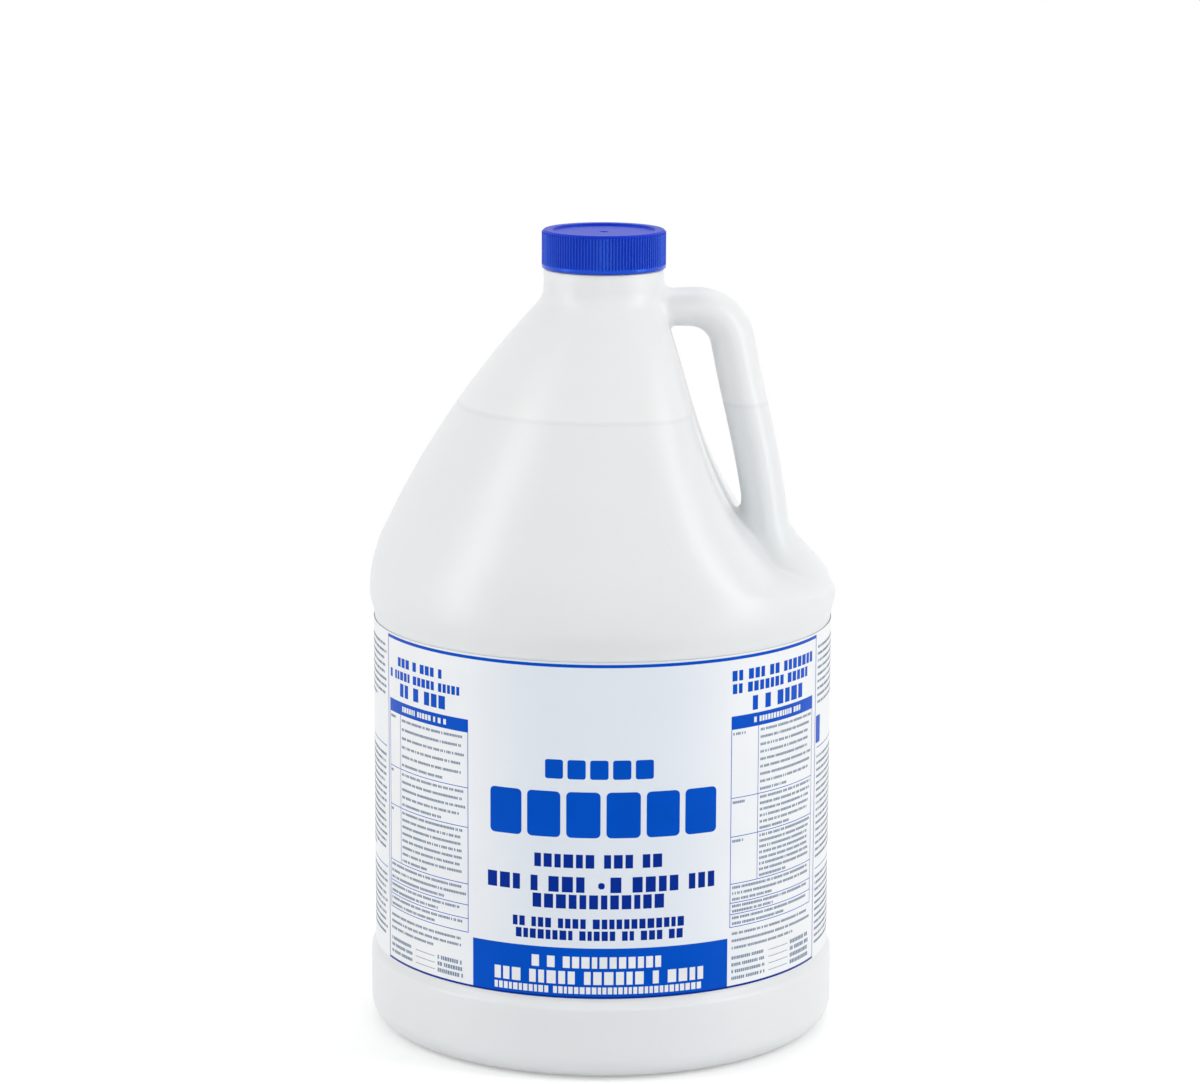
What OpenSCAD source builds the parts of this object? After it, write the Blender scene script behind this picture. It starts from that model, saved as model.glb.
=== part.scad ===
// One-gallon blow-moulded jug with an integral hollow handle, a ribbed screw cap,
// a foam cap liner, a wrap-round label and its liquid fill.
// The jug stands on z = 0 with its axis on the z axis. The handle points along +x,
// and the label's front faces -y.

/* [Body] */
// Largest radius of the jug, at the shoulder
body_r = 81.5; // [68:0.5:97]
// Thickness of the moulded wall
wall = 0.95; // [0.7:0.05:1.3]
// How far the label panel lies inside the largest radius
panel_recess = 1.6; // [1:0.1:2.4]
// How far the base ring stands out past the largest radius
ring_stand = 0.2; // [0:0.05:0.6]
// Height of the base ring, up to where it steps in
ring_h = 25; // [18:0.5:32]
// Height over which the base ring steps in to the label panel
ring_step_h = 3; // [2:0.5:5]
// Height of the straight label panel
panel_h = 118; // [92:1:142]
// Height over which the panel swells out to the largest radius
swell_h = 8; // [6:0.5:11]

/* [Base] */
// Radius of the corner between side and base
base_corner_r = 8; // [5:0.5:11]
// Width of the ring that the jug stands on
standing_ring_w = 5; // [3:0.5:8]
// Height of the pushed-up middle of the base
push_up_h = 6; // [4:0.5:9]

/* [Shoulder] */
// Radius of the arc that turns the side into the shoulder
turn_arc_r = 49; // [39:1:59]
// Lean of the shoulder, from upright, where that arc ends
turn_lean = 25; // [20:1:30]
// Radius of the long arc from there up to the collar
shoulder_arc_r = 311; // [255:1:370]
// Size of the blend between the shoulder and the collar
collar_blend = 3; // [1:0.5:4]

/* [Handle] */
// Share of the shoulder's radius taken off on the handle's side
pocket_share = 0.42; // [0.37:0.01:0.47]
// Height over which the pocket's floor rises
pocket_floor_h = 12; // [10:0.5:14]
// Size of the rounding where the pocket's wall meets the round shoulder
cheek_blend = 20; // [16:0.5:24]
// Distance from the collar to the corner of the handle's centre line
handle_reach = 21.9; // [18:0.1:26]
// Depth of the handle's centre line below the top of the collar
handle_drop = 13.4; // [11:0.1:16]
// Distance from the largest radius in to the handle's foot
foot_inset = 20; // [16:0.5:24]
// How far the grip bows out between the bend and the foot
grip_bow = 1.4; // [0:0.1:3]
// Radius of the bend in the handle's centre line
bend_r = 14; // [11:0.5:16]
// Thickness of the handle where it leaves the collar
bridge_t = 12.4; // [10:0.1:15]
// Thickness of the grip
grip_t = 15.3; // [12.5:0.1:18.5]
// Width of the grip
grip_w = 22; // [18:0.5:26.5]
// How much thicker the handle's foot is than the grip, each way
foot_flare_t = 11.7; // [9.5:0.1:14]
// How much wider the handle's foot is than the grip, each way
foot_flare_w = 24.5; // [20:0.5:29.5]
// Height over which the handle's foot flares out
foot_flare_h = 25; // [20:0.5:30]

/* [Neck] */
// Radius of the collar under the cap
collar_r = 20.8; // [18.5:0.1:24]
// Height from the foot of the collar to its top
collar_h = 9.8; // [8:0.1:12]
// Radius of the neck's bore
bore_r = 15.9; // [13:0.1:17]
// Radius of the neck between the turns of its thread
neck_r = 17.4; // [16:0.1:17.8]
// How far the neck's thread stands out
thread_h = 1.15; // [0.9:0.05:1.4]
// Rise of the thread in one turn
thread_pitch = 4.233; // [3.8:0.001:5]
// Turns of thread on the neck
thread_turns = 1.5; // [1:0.05:1.6]
// Height of the neck above the collar
neck_h = 10; // [9.7:0.1:12]

/* [Cap] */
// Thickness of the cap's skirt, from the thread's hollow to the ribs
skirt_t = 2.5; // [2:0.05:3]
// Running room between the neck's thread and the cap's skirt
thread_room = 0.45; // [0.35:0.01:0.6]
// Number of grip ribs round the cap
rib_count = 120; // [90:1:150]
// Depth of the grooves between the ribs
rib_depth = 0.35; // [0.2:0.05:0.5]
// Thickness of the cap's top
cap_top_t = 1.4; // [1.1:0.1:1.8]
// Depth of the recess in the cap's top
recess_depth = 0.9; // [0.5:0.1:1.2]
// Width of the rim round that recess
recess_rim_w = 3.8; // [3:0.1:5]
// Height of the bevel round the cap's top edge
bevel_h = 0.8; // [0.5:0.1:1.1]
// Height of the plain band round the cap's lower edge
band_h = 1.2; // [0.8:0.1:1.8]
// Gap between the cap's skirt and the collar
skirt_gap = 0.3; // [0.2:0.05:0.5]
// Thickness of the foam liner
liner_t = 1; // [0.8:0.1:1.4]

/* [Label] */
// Thickness of the label
label_t = 0.2; // [0.1:0.05:0.3]
// Distance from each end of the panel to the label's edge
label_margin = 0.8; // [0.4:0.1:2]
// Angle over which the label's end laps over its start
lap_angle = 6; // [3:1:9]

/* [Fill] */
// Height of the liquid above the shoulder's widest line
fill_h = 66.4; // [50:0.1:75]

/* [Hidden] */
$fn = 120;

// Clearances
seat_gap = 0.05;
liner_gap = 0.2;
fill_gap = 0.3;

// Radii and heights of the body
panel_r = body_r - panel_recess;
ring_r = body_r + ring_stand;
panel_z = ring_h + ring_step_h;
panel_top_z = panel_z + panel_h;
widest_z = panel_top_z + swell_h;
fill_z = widest_z + fill_h;

// The shoulder's two arcs, and the height at which the second reaches the collar
turn_z = widest_z + turn_arc_r * sin(turn_lean);
turn_r = body_r - turn_arc_r * (1 - cos(turn_lean));
collar_lean = acos(cos(turn_lean) - (turn_r - collar_r) / shoulder_arc_r);
collar_z = turn_z + shoulder_arc_r * (sin(collar_lean) - sin(turn_lean));
collar_top_z = collar_z + collar_h;
skin_top_z = collar_z + collar_blend;

// The neck, its thread and what the cap needs to clear them
rim_z = collar_top_z + neck_h;
crest_r = neck_r + thread_h;
thread_root_w = 2.3;
thread_crest_w = 1.1;
thread_sink = 0.3;
thread_gap = 0.55;
thread_z = collar_top_z + thread_gap + thread_root_w / 2;
cap_hollow_r = crest_r + thread_room;
cap_crest_r = neck_r + thread_room;
cap_thread_root_w = 1.9;
cap_thread_crest_w = 0.9;
cap_r = cap_hollow_r + skirt_t;
cap_z = collar_top_z + skirt_gap;
liner_z = rim_z + seat_gap;
liner_room_z = liner_z + liner_t + seat_gap;
cap_top_z = liner_room_z + cap_top_t + recess_depth;
liner_r = cap_hollow_r - liner_gap;

// Cell counts of the free-form skins
skin_sides = 72;
skin_rows = 26;
tube_sides = 24;
tube_rows = 34;
coarse = 0.8;
fine = 1;
epsilon = 0.01;
cheek_share = 0.8;
overshoot = 1;
probe = 0.5;
seam_overlap = 1;
deep_tuck = 0.98;
seam_tuck = 0.998;

function clamp01(x) = min(max(x, 0), 1);
function smooth(x) = let (c = clamp01(x)) c * c * (3 - 2 * c);
function mix(a, b, t) = a + (b - a) * t;

// The larger or the smaller of two lengths, blended where they differ by less than k
function soft_max(a, b, k) = let (h = max(k - abs(a - b), 0) / k) max(a, b) + h * h * k / 4;
function soft_min(a, b, k) = -soft_max(-a, -b, k);

// Radius of the round shoulder at height z
function arc_r(z) = z <= turn_z
    ? body_r - turn_arc_r + sqrt(pow(turn_arc_r, 2) - pow(max(z - widest_z, 0), 2))
    : let (s = min((z - turn_z) / shoulder_arc_r + sin(turn_lean), 1))
        turn_r - shoulder_arc_r * (cos(turn_lean) - sqrt(1 - s * s));
function shoulder_r(z) = soft_max(arc_r(z), collar_r, collar_blend);

// Share of the radius that the handle's pocket takes at height z: half an ellipse between
// the widest line and the collar, with its floor rising softly from that line
function pocket(z) = let (t = clamp01((z - widest_z) / (collar_z - widest_z)))
    pocket_share * 2 * sqrt(t * (1 - t)) * smooth((z - widest_z) / pocket_floor_h);

// Distance from the axis to the pocket's flat wall
function pocket_x(z) = shoulder_r(z) * (1 - pocket(z));

// The radius, and that distance, with the moulded wall taken off square to the surface
function less_wall(here, rise, inset) = here - inset * sqrt(1 + pow(rise / (2 * probe), 2));
function inset_r(z, inset) =
    less_wall(shoulder_r(z), shoulder_r(z + probe) - shoulder_r(z - probe), inset);
function inset_x(z, inset) =
    less_wall(pocket_x(z), pocket_x(z + probe) - pocket_x(z - probe), inset);

// One row of the shoulder's skin: a circle cut off on the +x side by the pocket's flat wall,
// with its two cheeks rounded by up to the cheek's blend
function skin_ring(z, inset, sides) = let (
        r = inset_r(z, inset),
        x = min(inset_x(z, inset), r),
        k = min(max(cheek_share * (r - x), epsilon), cheek_blend)) [
    for (i = [0:sides - 1])
        let (a = 360 * i / sides) [soft_min(r * cos(a), x, k), r * sin(a), z]];

// Faces of a closed skin made of rings with the same number of points
function skin_faces(rows, sides) = concat(
    [[for (i = [0:sides - 1]) i]],
    [for (k = [0:rows - 2], i = [0:sides - 1])
        let (j = (i + 1) % sides, a = k * sides)
        each [[a + i, a + sides + i, a + j], [a + j, a + sides + i, a + sides + j]]],
    [[for (i = [sides - 1:-1:0]) (rows - 1) * sides + i]]);

module skin(rings) {
    polyhedron([for (ring = rings) each ring], skin_faces(len(rings), len(rings[0])));
}

// The same row drawn in towards the axis and lowered
function tucked_ring(z, inset, sides, share, drop) =
    [for (q = skin_ring(z, inset, sides)) [q[0] * share, q[1] * share, z - drop]];

// The shoulder from its widest line to the collar, with rows closest at its two ends. Its
// first two rows are tucked into the side's top, so that the two are one solid
module shoulder_skin(inset, detail, top_z) {
    rows = round(skin_rows * detail);
    sides = round(skin_sides * detail / 4) * 4;
    low = widest_z - inset;
    skin(concat(
        [tucked_ring(low, inset, sides, deep_tuck, seam_overlap)],
        [tucked_ring(low, inset, sides, seam_tuck, 0)],
        [for (k = [1:rows]) skin_ring(mix(low, top_z, (1 - cos(180 * k / rows)) / 2), inset, sides)]));
}

// The handle's centre line in the x-z plane: level from inside the collar, round the bend,
// then down to the foot inside the shoulder
start_sink = 9;
foot_sink = 4;
bridge_z = collar_top_z - handle_drop;
corner = [collar_r + handle_reach, bridge_z];
foot = [body_r - foot_inset, widest_z - foot_sink];
start = [collar_r - start_sink, bridge_z];
grip_angle = atan2(corner[1] - foot[1], foot[0] - corner[0]);
cut = bend_r * tan(grip_angle / 2);
bend_centre = [corner[0] - cut, corner[1] - bend_r];
grip_dir = [cos(grip_angle), -sin(grip_angle)];
bend_end = corner + cut * grip_dir;
grip_l = norm(foot - bend_end);

// Point and direction of the centre line: first third of u is the bridge,
// then the bend, then the grip
bridge_u = 0.16;
bend_u = 0.4;
function line_angle(u) = u < bridge_u ? 0
    : u < bend_u ? grip_angle * (u - bridge_u) / (bend_u - bridge_u) : grip_angle;
function line_point(u) = u < bridge_u ? [mix(start[0], bend_centre[0], u / bridge_u), bridge_z]
    : u < bend_u ? bend_centre + bend_r * [sin(line_angle(u)), cos(line_angle(u))]
    : let (t = (u - bend_u) / (1 - bend_u), bow = grip_bow * pow(sin(180 * t), 2))
        bend_end + grip_l * t * grip_dir + bow * [sin(grip_angle), cos(grip_angle)];

// Half thickness and half width of the handle along its centre line
function foot_share(z) = clamp01((widest_z + foot_flare_h - z) / foot_flare_h);
function half_t(u) = let (z = line_point(u)[1])
    mix(bridge_t, grip_t, smooth(u / bend_u)) / 2 + foot_flare_t * smooth(foot_share(z));
function half_w(u) = let (z = line_point(u)[1], f = foot_share(z)) grip_w / 2 + foot_flare_w * f * f;

// One oval row of the handle, square to its centre line
function handle_ring(u, inset, sides) = let (
        p = line_point(u),
        n = [sin(line_angle(u)), cos(line_angle(u))],
        a = half_t(u) - inset,
        b = half_w(u) - inset) [
    for (i = [0:sides - 1])
        let (c = a * cos(360 * i / sides), s = b * sin(360 * i / sides))
        [p[0] + c * n[0], -s, p[1] + c * n[1]]];

module handle_skin(inset, detail) {
    rows = round(tube_rows * detail);
    sides = round(tube_sides * detail / 4) * 4;
    skin([for (k = [0:rows]) handle_ring(k / rows, inset, sides)]);
}

// A right-hand ridge round the z axis: from_turn and to_turn are counted on the neck's
// helix, root_r is the face it stands on, and its height runs out to nothing at both ends
ridge_steps = 36;
run_out = 0.12;
module ridge(from_turn, to_turn, base_z, root_r, height, root_w, crest_w) {
    steps = ceil((to_turn - from_turn) * ridge_steps);
    side = height > 0 ? 1 : -1;
    rings = [for (k = [0:steps])
        let (
            turn = mix(from_turn, to_turn, k / steps),
            full = smooth((turn - from_turn) / run_out) * smooth((to_turn - turn) / run_out),
            out = root_r + height * mix(-0.15, 1, full),
            low = root_r - side * thread_sink,
            z = base_z + thread_pitch * turn,
            w = [for (half = [root_w, crest_w]) half / 2],
            dir = [cos(360 * turn), sin(360 * turn)])
        [for (q = [[low, -w[0]], [out, -w[1]], [out, w[1]], [low, w[0]]])
            [q[0] * dir[0], q[0] * dir[1], z + q[1]]]];
    skin(side < 0 ? rings : [for (ring = rings) [for (i = [3:-1:0]) ring[i]]]);
}

// Outline of the side and base in the r-z plane, drawn in by inset, up to the widest line
module lower_outline(inset) {
    low = inset;
    corner_r = base_corner_r - inset;
    side_r = ring_r - inset;
    dome_r = side_r - corner_r - standing_ring_w;
    step = panel_recess + ring_stand;
    polygon(concat(
        [for (k = [0:6]) [dome_r * k / 6, low + push_up_h * (1 - pow(k / 6, 2))]],
        [for (k = [0:8]) [side_r - corner_r * (1 - sin(90 * k / 8)), low + corner_r * (1 - cos(90 * k / 8))]],
        [for (k = [0:8]) [side_r - step * smooth(k / 8), ring_h + ring_step_h * k / 8]],
        [for (k = [0:8])
            [panel_r - inset + panel_recess * smooth(k / 8), panel_top_z + (swell_h - inset) * k / 8]],
        [[0, widest_z - inset]]));
}

module lower_solid(inset) {
    rotate_extrude() lower_outline(inset);
}

// Everything inside the jug's wall, drawn in by a further gap, up to the collar's top
module hollow(gap, detail) {
    inset = wall + gap;
    lower_solid(inset);
    shoulder_skin(inset, detail, skin_top_z);
    handle_skin(inset, detail);
}

module neck_solid() {
    translate([0, 0, skin_top_z])
        cylinder(r = collar_r, h = collar_top_z - skin_top_z);
    translate([0, 0, collar_top_z - epsilon])
        cylinder(r = neck_r, h = neck_h + epsilon);
    ridge(0, thread_turns, thread_z, neck_r, thread_h, thread_root_w, thread_crest_w);
}

// The bore, with a cone that opens it out to the inside of the collar
module neck_bore() {
    cone_h = collar_r - wall - bore_r;
    translate([0, 0, skin_top_z - epsilon])
        cylinder(r1 = collar_r - wall, r2 = bore_r, h = cone_h);
    translate([0, 0, skin_top_z])
        cylinder(r = bore_r, h = rim_z - skin_top_z + overshoot);
}

module jug_body() {
    color("whitesmoke")
        difference() {
            union() {
                lower_solid(0);
                shoulder_skin(0, fine, skin_top_z);
                handle_skin(0, fine);
                neck_solid();
            }
            hollow(0, coarse);
            neck_bore();
        }
}

// Everything outside the cap's ribs: a shallow groove between each rib and the next
module groove_ring() {
    step = 360 / rib_count;
    rib_clear = 0.3;
    difference() {
        circle(r = cap_r + overshoot);
        polygon([for (i = [0:rib_count - 1])
            each [for (q = [[0, rib_clear], [0.4, rib_clear], [0.6, -rib_depth], [0.8, -rib_depth]])
                (cap_r + q[1]) * [cos(step * (i + q[0])), sin(step * (i + q[0]))]]]);
    }
}

// Outline of the cap without its ribs, in the r-z plane
module cap_outline() {
    cap_h = cap_top_z - cap_z;
    recess_r = cap_r - recess_rim_w;
    gate_r = 1.6;
    gate_depth = 0.3;
    recess_z = cap_h - recess_depth;
    polygon([
        [0, 0],
        [cap_r, 0],
        [cap_r, cap_h - bevel_h],
        [cap_r - bevel_h, cap_h],
        [recess_r, cap_h],
        [recess_r - recess_depth / 2, recess_z],
        [gate_r, recess_z],
        [gate_r - gate_depth, recess_z - gate_depth],
        [0, recess_z - gate_depth]]);
}

module screw_cap() {
    color("mediumblue") {
        difference() {
            translate([0, 0, cap_z])
                rotate_extrude() cap_outline();
            translate([0, 0, cap_z + band_h])
                linear_extrude(cap_top_z - cap_z - band_h - bevel_h * 0.9) groove_ring();
            translate([0, 0, cap_z - overshoot])
                cylinder(r = cap_hollow_r, h = liner_room_z - cap_z + overshoot);
        }
        ridge(-0.25, 1, thread_z + thread_pitch / 2, cap_hollow_r, cap_crest_r - cap_hollow_r,
            cap_thread_root_w, cap_thread_crest_w);
    }
}

module cap_liner() {
    color("white")
        translate([0, 0, liner_z])
            cylinder(r = liner_r, h = liner_t);
}

// The label goes once round the panel, and its end laps over its start at the back
module wrap_label() {
    label_h = panel_h - 2 * label_margin;
    inner_r = panel_r + seat_gap;
    color("aliceblue")
        translate([0, 0, panel_z + label_margin]) {
            difference() {
                cylinder(r = inner_r + label_t, h = label_h);
                translate([0, 0, -overshoot])
                    cylinder(r = inner_r, h = label_h + 2 * overshoot);
            }
            rotate([0, 0, 90])
                rotate_extrude(angle = lap_angle)
                    translate([inner_r + label_t / 2, 0])
                        square([1.5 * label_t, label_h]);
        }
}

module bleach_fill() {
    color("lightcyan")
        intersection() {
            hollow(fill_gap, coarse);
            cylinder(r = body_r, h = fill_z);
        }
}

jug_body();
screw_cap();
cap_liner();
wrap_label();
bleach_fill();
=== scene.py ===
"""A one-gallon bleach jug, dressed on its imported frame: the blow-moulded body with its hollow
handle, the ribbed cap, the liner, the printed label and the liquid. Sizes are in millimetres
until add_mesh writes them in metres. +X points to the handle and -Y to the label's front."""
import bpy
import numpy as np
from mathutils import Matrix, Vector


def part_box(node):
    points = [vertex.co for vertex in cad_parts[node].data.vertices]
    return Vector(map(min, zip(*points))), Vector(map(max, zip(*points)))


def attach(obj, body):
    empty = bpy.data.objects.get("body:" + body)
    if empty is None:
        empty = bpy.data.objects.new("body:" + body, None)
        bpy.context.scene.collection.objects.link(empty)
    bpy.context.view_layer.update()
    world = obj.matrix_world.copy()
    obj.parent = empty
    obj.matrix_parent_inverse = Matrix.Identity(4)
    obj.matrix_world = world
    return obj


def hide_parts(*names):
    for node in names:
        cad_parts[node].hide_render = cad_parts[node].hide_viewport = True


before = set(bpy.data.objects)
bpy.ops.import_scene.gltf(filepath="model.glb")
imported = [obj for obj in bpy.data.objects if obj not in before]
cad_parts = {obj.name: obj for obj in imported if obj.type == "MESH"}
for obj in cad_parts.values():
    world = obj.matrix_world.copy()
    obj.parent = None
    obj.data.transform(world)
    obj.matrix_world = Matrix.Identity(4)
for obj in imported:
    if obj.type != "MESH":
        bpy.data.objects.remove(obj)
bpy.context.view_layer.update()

MM = 0.001


def node_top(node):
    """Height of a node's highest point, in millimetres."""
    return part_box(node)[1].z / MM


# Sizes of the body, repeated from the part's source
BODY_R = 81.5
WALL = 0.95
PANEL_R = BODY_R - 1.6
RING_R = BODY_R + 0.16
RING_H = 25
RING_STEP_H = 3
PANEL_Z = RING_H + RING_STEP_H
PANEL_TOP_Z = PANEL_Z + 118
SWELL_H = 8
WIDEST_Z = PANEL_TOP_Z + SWELL_H
BASE_CORNER_R = 8
STANDING_RING_W = 5
PUSH_UP_H = 6

# The shoulder's two arcs, and the collar that they run up to
TURN_ARC_R = 49
TURN_LEAN = np.radians(25)
SHOULDER_ARC_R = 311
COLLAR_R = 20.8
COLLAR_BLEND = 3
TURN_Z = WIDEST_Z + TURN_ARC_R * np.sin(TURN_LEAN)
TURN_R = BODY_R - TURN_ARC_R * (1 - np.cos(TURN_LEAN))
COLLAR_LEAN = np.arccos(np.cos(TURN_LEAN) - (TURN_R - COLLAR_R) / SHOULDER_ARC_R)
COLLAR_Z = TURN_Z + SHOULDER_ARC_R * (np.sin(COLLAR_LEAN) - np.sin(TURN_LEAN))

# The neck above the collar, and the levels that pieces sit at
RIM_Z = node_top("jug_body")
COLLAR_TOP_Z = RIM_Z - 10
LEVEL_Z = node_top("bleach_fill")
NECK_R = 17.4
BORE_R = 15.9
THREAD_H = 1.15
THREAD_PITCH = 4.233
THREAD_TURNS = 1.5
THREAD_ROOT_W = 2.3
THREAD_CREST_W = 1.1
THREAD_Z = COLLAR_TOP_Z + THREAD_ROOT_W / 2 + 0.55
RIDGE_STEPS = 90
RIDGE_POWER = 0.8
RIDGE_SINK = 0.4
RUN_OUT = 0.12
RUN_OUT_DEPTH = 0.12

# The pocket behind the handle, and the handle's centre line
POCKET_SHARE = 0.42
POCKET_FLOOR_H = 12
CHEEK_BLEND = 20
CHEEK_SHARE = 0.8
LEAST_CHEEK = 0.01
LEAST_COSINE = 0.3
BRIDGE_Z = COLLAR_TOP_Z - 13.4
BRIDGE_ROOT_R = COLLAR_R - 9
BRIDGE_END, BEND_END = 0.16, 0.4
CORNER = np.array([COLLAR_R + 21.9, BRIDGE_Z])
FOOT = np.array([BODY_R - 20, WIDEST_Z - 4])
BEND_R = 14
BRIDGE_T = 12.4
GRIP_T = 15.3
GRIP_W = 22
GRIP_BOW = 1.4
FOOT_FLARE_T = 11.7
FOOT_FLARE_W = 24.5
FOOT_FLARE_H = 25
END_DEPTH = 3

# The blend between body and handle, and where the handle's field is worked out
LOWER_BLEND = 0.05
UPPER_BLEND = 3
UPPER_BLEND_H = 22
TIP_BLEND = 3.5
TIP_BLEND_H = 13
GAP_TIP_Z = 182
HANDLE_LOW_X = 2
HANDLE_REACH_Y = 52
FAR_AWAY = 60.0
COARSE_STEP = 4
BATCH = 40000

# The skin's seams between turned and free-form stretches, and its cell sizes
SKIN_LOW_Z = 149
SKIN_TOP_Z = 265.3
LUMEN_TOP_Z = 262.3
NET_LOW_R = 14
NET_TOP_R = RING_R + 2
OUTER_CELL = 1.65
INNER_CELL = 2.6
COLUMNS = 300


def smooth(t):
    """Eases from 0 to 1 as t does: three squares less two cubes."""
    t = np.clip(t, 0, 1)
    return t * t * (3 - 2 * t)


def mix(a, b, t):
    return a + (b - a) * t


def soft_max(a, b, k):
    """The larger of a and b, rounded off where they differ by less than k."""
    return np.maximum(a, b) + np.clip(k - abs(a - b), 0, None) ** 2 / (4 * k)


def soft_min(a, b, k):
    """The smaller of a and b, rounded off where they differ by less than k."""
    return -soft_max(-a, -b, k)


def body_radius(z):
    """Radius at height z: the panel swells to the widest line, a short arc turns it into the
    shoulder, and a long arc runs up to the collar, which a soft maximum blends in."""
    swell = PANEL_R + (BODY_R - PANEL_R) * smooth((z - PANEL_TOP_Z) / SWELL_H)
    turn = BODY_R - TURN_ARC_R + np.sqrt(TURN_ARC_R**2 - np.clip(z - WIDEST_Z, 0, TURN_ARC_R) ** 2)
    rise = np.clip((z - TURN_Z) / SHOULDER_ARC_R + np.sin(TURN_LEAN), 0, 1)
    long_arc = TURN_R - SHOULDER_ARC_R * (np.cos(TURN_LEAN) - np.sqrt(1 - rise**2))
    shoulder = soft_max(np.where(z < TURN_Z, turn, long_arc), COLLAR_R, COLLAR_BLEND)
    return np.where(z < WIDEST_Z, swell, shoulder)


def pocket_share(z):
    """Share of the radius taken off towards the handle: half an ellipse between the widest
    line and the collar, with a soft floor."""
    t = np.clip((z - WIDEST_Z) / (COLLAR_Z - WIDEST_Z), 0, 1)
    return POCKET_SHARE * 2 * np.sqrt(t * (1 - t)) * smooth((z - WIDEST_Z) / POCKET_FLOOR_H)


def body_measure(x, y, z):
    """How far (x, y) lies along x outside the shoulder at height z: the larger of the ways to
    its circle and to the pocket's flat wall, rounded into each other at the cheeks. The way
    to the circle is the distance out to it divided by the cosine of the angle from x, which
    is taken as no smaller than LEAST_COSINE."""
    r = body_radius(z)
    wall = r * (1 - pocket_share(z))
    out = np.hypot(x, y)
    round_way = (out - r) * out / np.maximum(x, LEAST_COSINE * out)
    cheek = np.clip(CHEEK_SHARE * (r - wall), LEAST_CHEEK, CHEEK_BLEND)
    return soft_max(round_way, x - wall, cheek)


def body_field(x, y, z, step=0.2):
    """Distance outside the body: its measure divided by the size of the measure's slope."""
    value = body_measure(x, y, z)
    moved = ((x + step, y, z), (x, y + step, z), (x, y, z + step))
    return value / np.sqrt(sum(((body_measure(*at) - value) / step) ** 2 for at in moved))


def handle_line(steps=260):
    """The handle's centre line in the x-z plane, as points, the unit normals on its outer
    side, and half its thickness and width: level, round the bend, then down to the foot."""
    slope = np.arctan2(CORNER[1] - FOOT[1], FOOT[0] - CORNER[0])
    cut = BEND_R * np.tan(slope / 2)
    centre = np.array([CORNER[0] - cut, CORNER[1] - BEND_R])
    grip_dir = np.array([np.cos(slope), -np.sin(slope)])
    bend_end = CORNER + cut * grip_dir
    grip_l = np.linalg.norm(FOOT - bend_end)
    u = np.linspace(0, 1, steps)
    angle = slope * np.clip((u - BRIDGE_END) / (BEND_END - BRIDGE_END), 0, 1)
    out = np.stack([np.sin(angle), np.cos(angle)], 1)
    level = np.stack([mix(BRIDGE_ROOT_R, centre[0], u / BRIDGE_END), np.full(steps, BRIDGE_Z)], 1)
    t = np.clip((u - BEND_END) / (1 - BEND_END), 0, 1)[:, None]
    down = bend_end + grip_l * t * grip_dir + GRIP_BOW * np.sin(np.pi * t) ** 2 * out[-1]
    points = np.where((u < BEND_END)[:, None], centre + BEND_R * out, down)
    points = np.where((u < BRIDGE_END)[:, None], level, points)
    foot = np.clip((WIDEST_Z + FOOT_FLARE_H - points[:, 1]) / FOOT_FLARE_H, 0, 1)
    half_t = mix(BRIDGE_T, GRIP_T, smooth(u / BEND_END)) / 2 + FOOT_FLARE_T * smooth(foot)
    half_w = GRIP_W / 2 + FOOT_FLARE_W * foot**2
    return points, out, half_t, half_w


LINE = handle_line()


def handle_field(x, y, z):
    """Distance outside the handle's oval section where its centre line comes nearest: the
    oval's own measure, divided by how fast that measure grows. Far from the handle it is
    only a large number."""
    x, y, z = np.broadcast_arrays(x, y, z)
    distance = np.full(x.shape, FAR_AWAY)
    near = (x > HANDLE_LOW_X) & (abs(y) < HANDLE_REACH_Y) & (z > SKIN_LOW_Z - END_DEPTH)
    x, y, z = x[near], y[near], z[near]
    points, out, half_t, half_w = LINE
    coarse = points[::COARSE_STEP]
    nearest = np.empty(len(x))
    for part in np.array_split(np.arange(len(x)), len(x) // BATCH + 1):
        gap = np.stack([x[part], z[part]], 1)[:, None] - coarse[None]
        nearest[part] = np.argmin((gap**2).sum(2), 1) * float(COARSE_STEP)
    row = np.arange(len(points))
    run = np.gradient(np.append(0, np.cumsum(np.linalg.norm(np.diff(points, axis=0), axis=1))))

    def offsets():
        """The way across the line and the way along it, from the nearest place on it."""
        px, pz, ox, oz = (np.interp(nearest, row, v) for v in (*points.T, *out.T))
        return (x - px) * ox + (z - pz) * oz, (x - px) * oz - (z - pz) * ox

    for _ in range(3):
        along = offsets()[1] / np.interp(nearest, row, run)
        nearest = np.clip(nearest + along, 0, row[-1])
    across, beyond = offsets()
    beyond = np.where((nearest > 0) & (nearest < row[-1]), 0, beyond)
    a, b = np.interp(nearest, row, half_t), np.interp(nearest, row, half_w)
    measure = np.sqrt((across / a) ** 2 + (y / b) ** 2 + (beyond / END_DEPTH) ** 2)
    growth = np.sqrt((across / a**2) ** 2 + (y / b**2) ** 2 + (beyond / END_DEPTH**2) ** 2)
    distance[near] = measure * (measure - 1) / np.maximum(growth, 1e-6)
    return distance


def blend_size(z):
    """Size of the blend between body and handle: next to none at the lower seam, small above
    the foot and at the collar, and larger round the lower tip of the finger gap."""
    above_foot = smooth((z - WIDEST_Z + 2) / UPPER_BLEND_H)
    at_tip = smooth(1 - abs(z - GAP_TIP_Z) / TIP_BLEND_H)
    return LOWER_BLEND + UPPER_BLEND * above_foot + TIP_BLEND * at_tip


def jug_field(x, y, z):
    """Distance outside the jug: the body's and the handle's, joined by a soft minimum."""
    return soft_min(body_field(x, y, z), handle_field(x, y, z), blend_size(z))


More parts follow.
